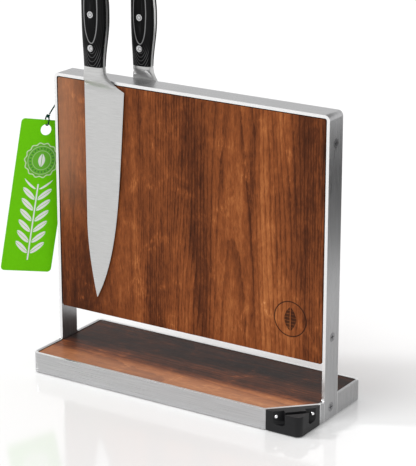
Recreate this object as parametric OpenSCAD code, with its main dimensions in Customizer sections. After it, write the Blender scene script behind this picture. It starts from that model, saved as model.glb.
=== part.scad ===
// Free-standing magnetic knife block: a laminated wooden board held in a steel
// arch, on a steel-ringed wooden base with a corner sharpener. A chef's knife
// sits on its front face and a carving knife on its rear face.
// Millimetres. Origin at the centre of the base on the standing surface,
// +X to the right, +Y to the back, +Z up.

/* [Frame] */
// Width of the arch and of the base
frame_w = 305; // [280:1:380]
// Height of the arch above the standing surface
frame_h = 295; // [290:1:380]
// Depth of the arch, front to back
band_d = 24.4; // [22:0.2:34]
// Thickness of the steel sheet
sheet_t = 3; // [2:0.5:4]
// Outer bend radius of the arch's two top corners
arch_bend_r = 5; // [4.5:0.5:12]
// Fillet where an upright meets the base
foot_fillet_r = 3; // [1:0.5:4]

/* [Base] */
// Depth of the base, front to back
base_d = 114; // [100:1:150]
// Height of the steel ring
ring_h = 20; // [18:0.5:28]
// Outer bend radius of the ring's corners
ring_bend_r = 5; // [4.5:0.5:12]
// Legs of the cut-off corner that takes the sharpener
corner_cut = 38; // [34:0.5:46]
// Clearance between the ring and the base board
base_board_gap = 0.5; // [0.2:0.1:1.5]
// How far the base board lies below the ring's top edge
base_board_drop = 0.5; // [0:0.1:1.5]
// Thickness of the base board
base_board_t = 17.5; // [14:0.5:18]
// Height at which the two base screws enter
base_screw_z = 12; // [10:0.5:14]

/* [Feet] */
// How far the feet lift the ring off the surface
foot_lift = 1; // [0.5:0.5:3]
// Diameter of a rubber foot
foot_d = 12; // [8:1:18]
// Distance of the feet from the base's side edges
foot_inset_x = 45; // [40:1:70]
// Distance of the feet from the base's front and rear edges
foot_inset_y = 22; // [18:1:32]

/* [Board] */
// Height of the board's lower edge above the surface
board_z = 57.5; // [45:0.5:90]
// Clearance between the board and the arch
board_gap = 1; // [0.5:0.1:1.5]
// Thickness of each wooden face
face_t = 7.2; // [6.5:0.1:10]
// Corner radius of the board
board_corner_r = 2; // [1:0.5:6]

/* [Magnets] */
// Diameter of a magnet
magnet_d = 20; // [12:1:24]
// Thickness of a magnet
magnet_t = 4.4; // [2:0.1:4.6]
// Clearance around a magnet in its pocket
magnet_gap = 0.1; // [0.05:0.05:0.3]
// Distance between the columns of magnets
magnet_pitch_x = 46; // [38:1:52]
// Distance between the rows of magnets
magnet_pitch_z = 78; // [50:1:85]
// Columns of magnets
magnet_columns = 6; // [3:1:6]
// Rows of magnets
magnet_rows = 3; // [2:1:3]

/* [Screws] */
// Head diameter of the countersunk screws
screw_head_d = 9.2; // [7:0.2:10]
// Shank diameter of the countersunk screws
screw_d = 4.8; // [3.5:0.1:5]
// Length of the screws
screw_l = 30; // [25:1:40]
// Clearance of the screws in the steel
screw_gap = 0.2; // [0.1:0.1:0.4]
// Distance of a board screw from the board's upper or lower edge
board_screw_edge = 24; // [18:1:40]

/* [Sharpener] */
// Step between the ring's bend and the sharpener's end
sharpener_end_gap = 1.6; // [1:0.2:3]
// Radius of the sharpener's outer corner
sharpener_corner_r = 6; // [3:0.5:9]
// Depth of the slot and of the notches below the sharpener's top
slot_depth = 12.5; // [9:0.5:13.5]
// Width of the slot that guides the blade
slot_w = 4; // [3:0.2:5]
// Distance from the ring's diagonal wall to the slot
slot_back = 11.5; // [10.5:0.1:12.5]
// Distance from the ring's diagonal wall to the notches
notch_back = 6.6; // [5.5:0.1:8]
// Half of the slot's length between its two notches
slot_half_l = 10; // [9:0.5:12]
// Radius of the notches' lower corners
notch_r = 3; // [1:0.5:4]
// How far the guide island lies below the sharpener's top
island_drop = 0.7; // [0:0.1:2]
// Head diameter of the two dome screws
dome_d = 4; // [3:0.2:5]
// Shank diameter of the dome screws
dome_shank_d = 2.5; // [2:0.1:3]
// Distance of a dome screw from the middle of the slot
dome_offset = 17; // [14.5:0.5:18]
// Distance of the dome screws below the ring's top
dome_drop = 5.2; // [4:0.2:9]

/* [Chef's knife] */
// Length of the blade from heel to tip
chef_blade_l = 211; // [180:1:225]
// Height of the blade at its heel
chef_heel_h = 45; // [38:0.5:52]
// How far the tip lies from the line of the spine
chef_tip_drop = 10.2; // [8:0.2:18]
// Distance of the spine from the arch's left side
chef_spine_inset = 38.2; // [30:0.2:60]

/* [Carving knife] */
// Length of the blade from heel to tip
carving_blade_l = 203; // [180:1:225]
// Height of the blade at its heel
carving_heel_h = 34; // [28:0.5:40]
// How far the tip lies from the line of the spine
carving_tip_drop = 10; // [8:0.2:16]
// Distance of the spine from the arch's left side
carving_spine_inset = 75.6; // [68:0.2:110]
// Size of its handle beside the chef's knife's handle
carving_handle_ratio = 0.93; // [0.85:0.01:1.1]

/* [Both knives] */
// Distance of the heels below the arch's top
heel_drop = 9; // [4:0.5:16]
// Thickness of a blade at the spine
blade_t = 2.6; // [2:0.1:3.5]
// Thickness of a tang
tang_t = 2.8; // [2.4:0.1:4]
// Length of the bolster, from heel to handle
bolster_l = 22; // [18:0.5:32]
// Length of a handle
handle_l = 109; // [100:1:125]
// Height of a handle beside the bolster
neck_h = 21.1; // [17:0.1:24]
// Height of a handle in the middle of the grip
grip_h = 26.7; // [22:0.1:30]
// Thickness of a handle beside the bolster
neck_t = 12.7; // [10:0.1:15]
// Thickness of a handle in the middle of the grip
grip_t = 17.4; // [14:0.1:20]
// Diameter of a rivet
rivet_d = 6.3; // [4:0.1:8]
// Distance between the rivets
rivet_pitch = 32.5; // [26:0.5:36]
// Distance of the first rivet from the bolster
rivet_start = 18.5; // [14:0.5:24]
// Space between a blade and the board's face
blade_gap = 0.2; // [0.1:0.1:0.5]

/* [Hang tag] */
// Width of the card
tag_w = 53; // [40:1:60]
// Height of the card
tag_h = 155; // [100:1:165]
// Thickness of the card
tag_t = 1; // [0.6:0.1:2]
// Corner radius of the card
tag_r = 4; // [1:0.5:10]
// Diameter of the card's hole
tag_hole_d = 11; // [9:0.5:13]
// Distance of the hole's centre from the card's top edge
tag_hole_drop = 10; // [8:0.5:16]
// Diameter of the string
string_d = 1.6; // [1:0.1:2]

/* [Hidden] */
$fn = 64;
eps = 0.01;

// Frame and base
ring_top = foot_lift + ring_h;
bend_run = ring_bend_r * tan(22.5);
side_seam_y = base_d / 2 - ring_bend_r;
front_seam_y = -base_d / 2 + corner_cut + bend_run;
board_w = frame_w - 2 * (sheet_t + board_gap);
board_top = frame_h - sheet_t - board_gap;
board_h = board_top - board_z;
core_t = band_d - 2 * face_t;
board_mid_z = board_z + board_h / 2;
board_screw_zs = [board_z + board_screw_edge, board_top - board_screw_edge];
base_board_top = ring_top - base_board_drop;
base_board_bottom = base_board_top - base_board_t;

// Screw heads
head_cone_h = (screw_head_d - screw_d) / 2;
recess_w = 0.9;
recess_l = 4.8;
recess_depth = 1.5;
screw_point_l = 5;

// Sharpener, in a frame whose X runs along the ring's diagonal wall
// and whose -Y points out to the corner
wall_mid = [frame_w / 2 - corner_cut / 2, -base_d / 2 + corner_cut / 2];
notch_front = slot_back + slot_w;
slot_floor_z = ring_top - slot_depth;
slot_mid = slot_back + slot_w / 2;
dome_z = ring_top - dome_drop;
floor_t = 2;
floor_l = 14.6;
floor_w = 9;
cell_w = 8;
cell_top_z = ring_top - 2.5;
insert_tilt = 25;
insert_l = 12;
carbide_t = 1.2;
carbide_w = 3;
rod_d = 2.5;
insert_step = 0.1;
insert_mid_z = foot_lift + floor_t
    + (insert_l * cos(insert_tilt) + carbide_w * sin(insert_tilt)) / 2;
coarse_s = -4.2;
fine_s = 4;

// Knives
blade_plane = band_d / 2 + blade_gap + blade_t / 2;
heel_z = frame_h - heel_drop;
handle_z = heel_z + bolster_l;
neck_step = 1.2;
waist_dip = 1.4;
butt_flare = 2.6;
butt_round = 7;
butt_start = 0.93;
scale_power = 2.8;
edge_half_t = 0.15;
grind_bulge = 0.06;
shoulder_power = 2.2;
flare_out = 0.02;
flare_out_end = 0.42;
flare_in = (heel_drop + 0.5) / bolster_l;
flare_in_end = 0.9;
blade_steps = 26;
bolster_steps = 16;
handle_steps = 22;
ring_steps = 8;
arc_steps = 14;
rivet_count = 3;
rivet_gap = 0.05;

// Hang tag and string: the hole's centre, the card's turn about the
// vertical and its lean, and the string's route from the slit beside the
// rear board to the knot
tag_hole_at = [-169.6, -5, 233.6];
tag_turn = 56;
tag_lean = 10;
loop_r = 5;
knot_at = [-166.2, -5, 248];
knot_d = 4.6;
string_sides = 8;
string_route = [
    [-148.8, 12.2, 283.0],
    [-148.9, 13.4, 283.0],
    [-149.6, 14.9, 282.7],
    [-150.9, 15.9, 282.0],
    [-152.6, 15.9, 281.0],
    [-154.1, 15.0, 279.7],
    [-155.2, 13.5, 278.0],
    [-156.2, 11.6, 275.2],
    [-157.4, 9.5, 271.8],
    [-158.7, 7.5, 268.4],
    [-159.9, 5.4, 265.0],
    [-161.2, 3.3, 261.6],
    [-162.4, 1.2, 258.2],
    [-163.7, -0.8, 254.8],
    [-164.9, -2.8, 251.6],
    [-165.6, -4.0, 249.6]
];

// Rises smoothly from 0 to 1 as t goes from 0 to 1
function smooth(t) = let (c = min(1, max(0, t))) c * c * (3 - 2 * c);

// Signed power, for superellipses
function spow(v, p) = sign(v) * pow(abs(v), p);

// Closed solid through rings of points, each anticlockwise from above,
// the lowest ring first
module loft(rings) {
    n = len(rings[0]);
    last = len(rings) - 1;
    polyhedron(
        points = [for (ring = rings) each ring],
        faces = concat(
            [[for (j = [0 : n - 1]) j]],
            [for (i = [0 : last - 1]) for (j = [0 : n - 1])
                [i * n + j, (i + 1) * n + j, (i + 1) * n + (j + 1) % n,
                 i * n + (j + 1) % n]],
            [[for (j = [n - 1 : -1 : 0]) last * n + j]]
        )
    );
}

// ---------------------------------------------------------------- frame

// Front outline of the arch in X and Z, drawn in by inset
module arch_outline(inset, foot) {
    w = frame_w - 2 * inset;
    top = frame_h - inset;
    r = arch_bend_r - inset;
    translate([-w / 2, foot]) square([w, top - r - foot]);
    translate([-w / 2 + r, foot]) square([w - 2 * r, top - foot]);
    for (side = [-1, 1]) translate([side * (w / 2 - r), top - r]) circle(r);
}

// Corner points of the base, drawn in by inset, with the cut-off corner
function base_points(inset) =
    let (x = frame_w / 2 - inset,
         y = base_d / 2 - inset,
         k = frame_w / 2 + base_d / 2 - corner_cut - inset * sqrt(2))
    [[-x, -y], [k - y, -y], [x, x - k], [x, y], [-x, y]];

// Points at distance d from p towards q
function step_to(p, q, d) = p + d * (q - p) / norm(q - p);

// Plan of the base drawn in by inset, with every corner rounded by r
module base_plan(inset, r) {
    p = base_points(inset);
    n = len(p);
    turns = [90, 45, 45, 90, 90];
    runs = [for (i = [0 : n - 1]) r * tan(turns[i] / 2)];
    polygon([for (i = [0 : n - 1])
        each [step_to(p[i], p[(i + n - 1) % n], runs[i]),
              step_to(p[i], p[(i + 1) % n], runs[i])]]);
    for (i = [0 : n - 1]) {
        a = step_to(p[i], p[(i + n - 1) % n], 1) - p[i];
        b = step_to(p[i], p[(i + 1) % n], 1) - p[i];
        bisector = (a + b) / norm(a + b);
        translate(p[i] + bisector * r / cos(turns[i] / 2)) circle(r);
    }
}

// Plan of the steel ring
module ring_plan() {
    difference() {
        base_plan(0, ring_bend_r);
        base_plan(sheet_t, ring_bend_r - sheet_t);
    }
}

// Plan of the two straight stretches of the ring that belong to the arch
module side_foot_zone() {
    reach = frame_w / 2 + 1;
    translate([-reach, -side_seam_y])
        square([2 * sheet_t, 2 * side_seam_y]);
    translate([reach - 2 * sheet_t, front_seam_y])
        square([2 * sheet_t, side_seam_y - front_seam_y]);
}

// Concave fillet with its corner at the origin of Y and Z, one sheet thick
module foot_fillet(direction) {
    rotate([90, 0, 90]) linear_extrude(sheet_t) scale([direction, 1])
        difference() {
            translate([-eps, -eps]) square(foot_fillet_r + eps);
            translate([foot_fillet_r, foot_fillet_r]) circle(foot_fillet_r);
        }
}

// Countersunk screw, its head's flat at Z = 0 and its shank along -Z
module countersunk_screw() {
    difference() {
        union() {
            translate([0, 0, -head_cone_h])
                cylinder(d1 = screw_d, d2 = screw_head_d, h = head_cone_h);
            translate([0, 0, -screw_l + screw_point_l])
                cylinder(d = screw_d, h = screw_l - screw_point_l - head_cone_h);
            translate([0, 0, -screw_l])
                cylinder(d1 = 0.8, d2 = screw_d, h = screw_point_l);
        }
        for (turn = [0, 90]) rotate(turn)
            translate([-recess_l / 2, -recess_w / 2, -recess_depth])
                cube([recess_l, recess_w, recess_depth + 1]);
    }
}

// Hole in the steel for such a screw
module countersunk_hole() {
    d = screw_d + 2 * screw_gap;
    translate([0, 0, -sheet_t - 1]) cylinder(d = d, h = sheet_t + 2);
    translate([0, 0, -head_cone_h])
        cylinder(d1 = screw_d, d2 = screw_head_d, h = head_cone_h);
    translate([0, 0, -eps]) cylinder(d = screw_head_d, h = 1);
}

// Pilot hole in the wood for such a screw, with its pointed end
module pilot_hole() {
    translate([0, 0, -screw_l + screw_point_l])
        cylinder(d = screw_d, h = screw_l);
    translate([0, 0, -screw_l]) cylinder(d1 = 0.8, d2 = screw_d, h = screw_point_l);
}

// Repeats its children at both sides of the frame, pointing outwards
module at_sides(heights) {
    for (side = [-1, 1], z = heights)
        translate([side * frame_w / 2, 0, z]) rotate([0, side * 90, 0]) children();
}

// Steel arch: an inverted U whose ends widen into the base's two sides
module upright_frame() {
    color("silver") difference() {
        union() {
            rotate([90, 0, 0]) linear_extrude(band_d, center = true) difference() {
                arch_outline(0, foot_lift);
                arch_outline(sheet_t, foot_lift - 1);
            }
            translate([0, 0, foot_lift]) linear_extrude(ring_h) intersection() {
                ring_plan();
                side_foot_zone();
            }
            for (x = [-frame_w / 2, frame_w / 2 - sheet_t], direction = [-1, 1])
                translate([x, direction * band_d / 2, ring_top])
                    foot_fillet(direction);
        }
        at_sides(board_screw_zs) countersunk_hole();
        at_sides([base_screw_z]) countersunk_hole();
    }
}

// Steel strip round the front of the base and across its cut-off corner
module base_front_band() {
    color("silver") difference() {
        translate([0, 0, foot_lift]) linear_extrude(ring_h) intersection() {
            ring_plan();
            union() {
                translate([-frame_w / 2 - 1, -base_d / 2 - 1])
                    square([frame_w / 2 + 1, ring_bend_r + 1]);
                translate([-eps, -base_d / 2 - 1])
                    square([frame_w / 2 + 1, front_seam_y + base_d / 2 + 1]);
            }
        }
        at_dome_screws() cylinder(d = dome_shank_d, h = 4 * sheet_t, center = true);
    }
}

// Steel strip round the back of the base
module base_back_band() {
    color("silver") translate([0, 0, foot_lift]) linear_extrude(ring_h)
        intersection() {
            ring_plan();
            translate([-frame_w / 2 - 1, side_seam_y])
                square([frame_w + 2, ring_bend_r + 1]);
        }
}

// Solid wooden board inside the steel ring
module base_board() {
    inset = sheet_t + base_board_gap;
    color("saddlebrown") difference() {
        translate([0, 0, base_board_bottom]) linear_extrude(base_board_t)
            base_plan(inset, ring_bend_r - sheet_t);
        at_sides([base_screw_z]) pilot_hole();
    }
}

// Soft feet stuck under the base board
module rubber_feet() {
    color("dimgray")
        for (sx = [-1, 1], sy = [-1, 1])
            translate([sx * (frame_w / 2 - foot_inset_x),
                       sy * (base_d / 2 - foot_inset_y), 0])
                cylinder(d = foot_d, h = base_board_bottom);
}

// ---------------------------------------------------------------- board

// One layer of the board, t thick, with its front face at y
module board_layer(y, t) {
    r = board_corner_r;
    translate([0, y + t, board_z]) rotate([90, 0, 0]) linear_extrude(t) union() {
        translate([-board_w / 2, r]) square([board_w, board_h - 2 * r]);
        translate([-board_w / 2 + r, 0]) square([board_w - 2 * r, board_h]);
        for (x = [-1, 1], z = [r, board_h - r])
            translate([x * (board_w / 2 - r), z]) circle(r);
    }
}

// Repeats its children at each magnet's place on the core's front face,
// with +Z pointing to the front
module at_magnets() {
    for (i = [0 : magnet_columns - 1], j = [0 : magnet_rows - 1])
        translate([(i - (magnet_columns - 1) / 2) * magnet_pitch_x,
                   -core_t / 2,
                   board_mid_z + (j - (magnet_rows - 1) / 2) * magnet_pitch_z])
            rotate([90, 0, 0]) children();
}

// Round pockets for the magnets, sunk into a face from behind
module magnet_pockets() {
    at_magnets() translate([0, 0, -1])
        cylinder(d = magnet_d + 2 * magnet_gap, h = magnet_t + magnet_gap + 1);
}

// Wooden face that the chef's knife sits on
module front_board() {
    color("sienna") difference() {
        board_layer(-band_d / 2, face_t);
        magnet_pockets();
    }
}

// Wooden face that the carving knife sits on
module rear_board() {
    color("sienna") difference() {
        board_layer(core_t / 2, face_t);
        mirror([0, 1, 0]) magnet_pockets();
    }
}

// Wooden core between the two faces, which the board screws bite into
module board_core() {
    color("peru") difference() {
        board_layer(-core_t / 2, core_t);
        at_sides(board_screw_zs) pilot_hole();
    }
}

// Disc magnets behind the front face
module front_magnets() {
    color("gray") at_magnets() cylinder(d = magnet_d, h = magnet_t);
}

// Disc magnets behind the rear face
module rear_magnets() {
    color("gray") mirror([0, 1, 0]) at_magnets() cylinder(d = magnet_d, h = magnet_t);
}

// Screws through the uprights into the board's core
module board_screws() {
    color("lightgray") at_sides(board_screw_zs) countersunk_screw();
}

// Screws through the arch's feet into the base board
module base_screws() {
    color("lightgray") at_sides([base_screw_z]) countersunk_screw();
}

// ------------------------------------------------------------ sharpener

// Puts its children in the sharpener's own frame
module in_corner() {
    translate([wall_mid[0], wall_mid[1], 0]) rotate(45) children();
}

// Repeats its children on the two dome screws' axes, +Z out of the wall
module at_dome_screws() {
    in_corner() for (side = [-1, 1])
        translate([side * dome_offset, 0, dome_z]) rotate([90, 0, 0]) children();
}

// Plan of the corner that the sharpener fills
module corner_plan() {
    r = sharpener_corner_r;
    size = corner_cut - sharpener_end_gap;
    intersection() {
        translate([frame_w / 2 - size, -base_d / 2]) union() {
            square([size - r, size]);
            translate([0, r]) square([size, size - r]);
            translate([size - r, r]) circle(r);
        }
        translate(wall_mid) rotate(45)
            translate([-corner_cut, -2 * corner_cut])
                square([2 * corner_cut, 2 * corner_cut]);
    }
}

// Blade notch of U section, opening upwards, from s to the outside
module notch(s) {
    w = notch_front - notch_back;
    h = slot_depth + 1;
    translate([s > 0 ? s : s - corner_cut, -notch_front, slot_floor_z])
        rotate([90, 0, 90]) linear_extrude(corner_cut) union() {
            translate([0, notch_r]) square([w, h]);
            translate([notch_r, 0]) square([w - 2 * notch_r, h]);
            for (u = [notch_r, w - notch_r]) translate([u, notch_r]) circle(notch_r);
        }
}

// Cell that holds one pair of sharpening inserts
module insert_cell(s, l) {
    translate([s - l / 2, -slot_mid - cell_w / 2, foot_lift + floor_t])
        cube([l, cell_w, cell_top_z - foot_lift - floor_t]);
}

// Black moulded body of the sharpener
module sharpener_body() {
    color([0.12, 0.12, 0.12]) difference() {
        translate([0, 0, foot_lift]) linear_extrude(ring_h) corner_plan();
        in_corner() {
            translate([-slot_half_l - 1, -notch_front, slot_floor_z])
                cube([2 * slot_half_l + 2, slot_w, slot_depth + 1]);
            notch(slot_half_l);
            notch(-slot_half_l);
            translate([-corner_cut, -2 * corner_cut, ring_top - island_drop])
                cube([2 * corner_cut, 2 * corner_cut - notch_front, ring_h]);
            insert_cell(coarse_s, 2 * carbide_t + 3 * insert_step);
            insert_cell(fine_s, 2 * rod_d + 3 * insert_step);
            translate([-floor_l / 2, -slot_mid - floor_w / 2, foot_lift - 1])
                cube([floor_l, floor_w, floor_t + 1]);
        }
        at_dome_screws() cylinder(d = dome_shank_d, h = 3 * corner_cut, center = true);
    }
}

// Plate under the sharpener that keeps the inserts in
module sharpener_floor() {
    color([0.2, 0.2, 0.2]) in_corner()
        translate([-floor_l / 2, -slot_mid - floor_w / 2, foot_lift])
            cube([floor_l, floor_w, floor_t]);
}

// Repeats its children as a crossed pair around s, side by side along X
module crossed_pair(s, width) {
    for (side = [-1, 1])
        translate([s + side * (width + insert_step) / 2, -slot_mid, insert_mid_z])
            rotate([side * insert_tilt, 0, 0]) children();
}

// Crossed carbide plates of the coarse stage
module carbide_blades() {
    color("gray") in_corner() crossed_pair(coarse_s, carbide_t)
        cube([carbide_t, carbide_w, insert_l], center = true);
}

// Crossed ceramic rods of the fine stage
module ceramic_rods() {
    color("white") in_corner() crossed_pair(fine_s, rod_d)
        cylinder(d = rod_d, h = insert_l, center = true);
}

// Dome-headed screws that hold the sharpener to the ring's diagonal wall
module sharpener_screws() {
    color("gainsboro") at_dome_screws() {
        translate([0, 0, -sheet_t]) cylinder(d = dome_shank_d, h = sheet_t + notch_back);
        translate([0, 0, notch_back]) intersection() {
            sphere(d = dome_d);
            translate([0, 0, dome_d / 2]) cube(dome_d, center = true);
        }
    }
}

// --------------------------------------------------------------- knives

// Distances of the blade's edge and of its spine from the spine's straight
// line, at the share r of the way from heel to tip
function edge_at(heel_h, tip_drop, r) =
    heel_h - (heel_h - tip_drop) * (0.42 * r + 0.58 * pow(r, 4.8));
function spine_at(tip_drop, r) = tip_drop * pow(max(0, (r - 0.64) / 0.36), 1.7);

// Height and thickness of a handle at the share q of its length
function handle_h_at(q) =
    neck_h + (grip_h - neck_h) * smooth(q / 0.42)
    - waist_dip * smooth((q - 0.5) / 0.2) * (1 - smooth((q - 0.75) / 0.2))
    + butt_flare * smooth((q - 0.75) / 0.2);
function handle_t_at(q) =
    neck_t + (grip_t - neck_t) * (1 - pow(max(0, 1 - q / 0.5), 2))
    - waist_dip * smooth((q - 0.55) / 0.25) + butt_flare / 2 * smooth((q - 0.8) / 0.2);

// How far the rounded butt draws in at the share q
function butt_in(q) =
    q <= butt_start ? 0
    : butt_round * (1 - sqrt(max(0, 1 - pow((q - butt_start) / (1 - butt_start), 2))));

// Left and right edges of a handle from the spine's line
function handle_left(q) = neck_step * (1 - smooth(q / 0.4)) + butt_in(q);
function handle_right(q) =
    neck_step * (1 - smooth(q / 0.4)) + handle_h_at(q) - butt_in(q);

// Shares of a handle's length at which its shape is worked out, closer
// together at the rounded butt
function handle_shares() = concat(
    [for (i = [0 : handle_steps - 9]) butt_start * i / (handle_steps - 8)],
    [for (i = [0 : 8]) butt_start + (1 - butt_start) * 0.99 * sin(90 * i / 8)]);

// Half thickness of a rounded section at angle a
function round_half_t(t, a) =
    tang_t / 2 + (t / 2 - tang_t / 2) * spow(sin(a), 2 / scale_power);

// Outline of one side of a ring of the blade or bolster: from left to right
// in x, blade thickness t, handle thickness ht and share k of the round section
function half_ring(left, right, t, ht, k) =
    [for (i = [0 : ring_steps])
        let (a = 180 * i / ring_steps,
             f = (1 - k) * i / ring_steps + k * (1 - spow(cos(a), 2 / scale_power)) / 2,
             wedge = t / 2 * (1 - f) + edge_half_t * f + grind_bulge * t * 4 * f * (1 - f))
        [left + (right - left) * f, (1 - k) * wedge + k * round_half_t(ht, a)]];

// One ring at height z, with the share k_out of the round section on the side
// away from the board and k_in on the board's side
function blade_ring(left, right, z, t, ht, k_out, k_in) =
    concat([for (p = half_ring(left, right, t, ht, k_out)) [p[0], -p[1], z]],
           reverse([for (p = half_ring(left, right, t, ht, k_in)) [p[0], p[1], z]]));

function reverse(list) = [for (i = [len(list) - 1 : -1 : 0]) list[i]];

// Forged blade, bolster and full tang in one piece. The bolster flares out on
// the board's side only above the arch, so that the blade can lie flat
module knife_blade(blade_l, heel_h, tip_drop, ratio) {
    blade_rings = [for (i = [0 : blade_steps])
        let (r = 0.995 * (1 - pow(i / blade_steps, 1.4)),
             thin = blade_t * (1 - 0.5 * r))
        blade_ring(spine_at(tip_drop, r), edge_at(heel_h, tip_drop, r),
                   heel_z - r * blade_l, thin, neck_t, 0, 0)];
    neck_right = neck_step + neck_h * ratio;
    bolster_rings = [for (i = [1 : bolster_steps])
        let (v = i / bolster_steps,
             left = neck_step * smooth((v - 0.5) / 0.5),
             right = neck_right + (heel_h - neck_right) * pow(1 - v, shoulder_power))
        blade_ring(left, right, heel_z + v * bolster_l, blade_t, neck_t * ratio,
                   smooth((v - flare_out) / (flare_out_end - flare_out)),
                   smooth((v - flare_in) / (flare_in_end - flare_in)))];
    difference() {
        union() {
            loft(concat(blade_rings, bolster_rings));
            translate([0, tang_t / 2, handle_z]) rotate([90, 0, 0])
                linear_extrude(tang_t) tang_outline(ratio);
        }
        at_rivets(ratio) cylinder(d = rivet_d + 2 * rivet_gap, h = 2 * grip_t, center = true);
    }
}

// Side outline of the tang in X and Z, with a narrower root in the bolster
module tang_outline(ratio) {
    q = handle_shares();
    n = len(q);
    root = 2;
    root_left = neck_step + root;
    root_right = neck_step + neck_h * ratio - root;
    polygon(concat(
        [[root_left, 0], [root_left, -root], [root_right, -root], [root_right, 0]],
        [for (i = [0 : n - 1]) [handle_edge(q[i], ratio, true), q[i] * handle_l * ratio]],
        [for (i = [n - 1 : -1 : 0])
            [handle_edge(q[i], ratio, false), q[i] * handle_l * ratio]]));
}

// Edge of a handle whose height is taken times ratio
function handle_edge(q, ratio, is_right) =
    let (left = handle_left(q), right = handle_right(q))
    is_right ? left + (right - left) * ratio : left;

// Repeats its children on the rivets' axes
module at_rivets(ratio) {
    for (i = [0 : rivet_count - 1])
        let (z = rivet_start + i * rivet_pitch, q = z / handle_l)
        translate([(handle_edge(q, ratio, false) + handle_edge(q, ratio, true)) / 2,
                   0, handle_z + z * ratio])
            rotate([90, 0, 0]) children();
}

// Handle scale on the front of the tang
module knife_scale(ratio) {
    rings = [for (q = handle_shares())
        let (left = handle_edge(q, ratio, false),
             right = handle_edge(q, ratio, true),
             t = handle_t_at(q) * ratio - butt_in(q) * 0.4)
        [for (i = [0 : arc_steps])
            let (a = 180 * i / arc_steps)
            [(left + right) / 2 - (right - left) / 2 * spow(cos(a), 2 / scale_power),
             -round_half_t(t, a), handle_z + q * handle_l * ratio]]];
    difference() {
        loft(rings);
        at_rivets(ratio) cylinder(d = rivet_d + 2 * rivet_gap, h = 2 * grip_t, center = true);
    }
}

// Rivets through the tang and both scales
module knife_rivets(ratio) {
    for (i = [0 : rivet_count - 1])
        let (z = rivet_start + i * rivet_pitch, q = z / handle_l,
             t = handle_t_at(q) * ratio)
        translate([(handle_edge(q, ratio, false) + handle_edge(q, ratio, true)) / 2,
                   0, handle_z + z * ratio])
            rotate([90, 0, 0]) cylinder(d = rivet_d, h = t, center = true);
}

// Places of the two knives
module at_chef() {
    translate([-frame_w / 2 + chef_spine_inset, -blade_plane, 0]) children();
}
module at_carving() {
    translate([-frame_w / 2 + carving_spine_inset, blade_plane, 0])
        mirror([0, 1, 0]) children();
}

module chef_blade() {
    color("gainsboro") at_chef()
        knife_blade(chef_blade_l, chef_heel_h, chef_tip_drop, 1);
}
module chef_front_scale() {
    color([0.15, 0.15, 0.16]) at_chef() knife_scale(1);
}
module chef_rear_scale() {
    color([0.15, 0.15, 0.16]) at_chef() mirror([0, 1, 0]) knife_scale(1);
}
module chef_rivets() {
    color("silver") at_chef() knife_rivets(1);
}
module carving_blade() {
    color("gainsboro") at_carving()
        knife_blade(carving_blade_l, carving_heel_h, carving_tip_drop,
                    carving_handle_ratio);
}
module carving_front_scale() {
    color([0.15, 0.15, 0.16]) at_carving()
        mirror([0, 1, 0]) knife_scale(carving_handle_ratio);
}
module carving_rear_scale() {
    color([0.15, 0.15, 0.16]) at_carving() knife_scale(carving_handle_ratio);
}
module carving_rivets() {
    color("silver") at_carving() knife_rivets(carving_handle_ratio);
}

// ------------------------------------------------------------- hang tag

// Puts its children in the card's own frame: X across it, Z up it
module in_tag() {
    translate(tag_hole_at) rotate([0, 0, tag_turn]) rotate([0, tag_lean, 0]) children();
}

// Printed card with a round hole
module hang_tag() {
    color("limegreen") in_tag() translate([0, tag_t / 2, 0]) rotate([90, 0, 0])
        linear_extrude(tag_t) difference() {
            translate([-tag_w / 2, tag_hole_drop - tag_h]) union() {
                translate([0, tag_r]) square([tag_w, tag_h - 2 * tag_r]);
                translate([tag_r, 0]) square([tag_w - 2 * tag_r, tag_h]);
                for (x = [tag_r, tag_w - tag_r], z = [tag_r, tag_h - tag_r])
                    translate([x, z]) circle(tag_r);
            }
            circle(d = tag_hole_d);
        }
}

// Loop of string through the card's hole and over its top edge
module tag_loop() {
    color("darkgreen") in_tag()
        translate([0, 0, tag_hole_d / 2 - string_d / 2 - 0.1 + loop_r])
            rotate([0, 90, 0]) rotate_extrude()
                translate([loop_r, 0]) circle(d = string_d);
}

// Knot that closes the loop
module tag_knot() {
    color("darkgreen") translate(knot_at) sphere(d = knot_d);
}

// Direction of the string at its point i
function string_dir(i) =
    let (n = len(string_route),
         d = string_route[min(i + 1, n - 1)] - string_route[max(i - 1, 0)])
    d / norm(d);

// Ring of the string at its point i, square to its direction
function string_ring(i) =
    let (d = string_dir(i),
         side = cross(d, [0, 0, 1]) / norm(cross(d, [0, 0, 1])),
         up = cross(d, side))
    [for (j = [0 : string_sides - 1])
        let (a = 360 * j / string_sides)
        string_route[i] + string_d / 2 * (side * cos(a) + up * sin(a))];

// String from the slit beside the rear board to the knot
module tag_string() {
    color("darkgreen") loft([for (i = [0 : len(string_route) - 1]) string_ring(i)]);
}

upright_frame();
base_front_band();
base_back_band();
base_board();
front_board();
board_core();
rear_board();
front_magnets();
rear_magnets();
board_screws();
base_screws();
rubber_feet();
sharpener_body();
sharpener_floor();
carbide_blades();
ceramic_rods();
sharpener_screws();
chef_blade();
chef_front_scale();
chef_rear_scale();
chef_rivets();
carving_blade();
carving_front_scale();
carving_rear_scale();
carving_rivets();
hang_tag();
tag_loop();
tag_knot();
tag_string();
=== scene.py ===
import math

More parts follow.
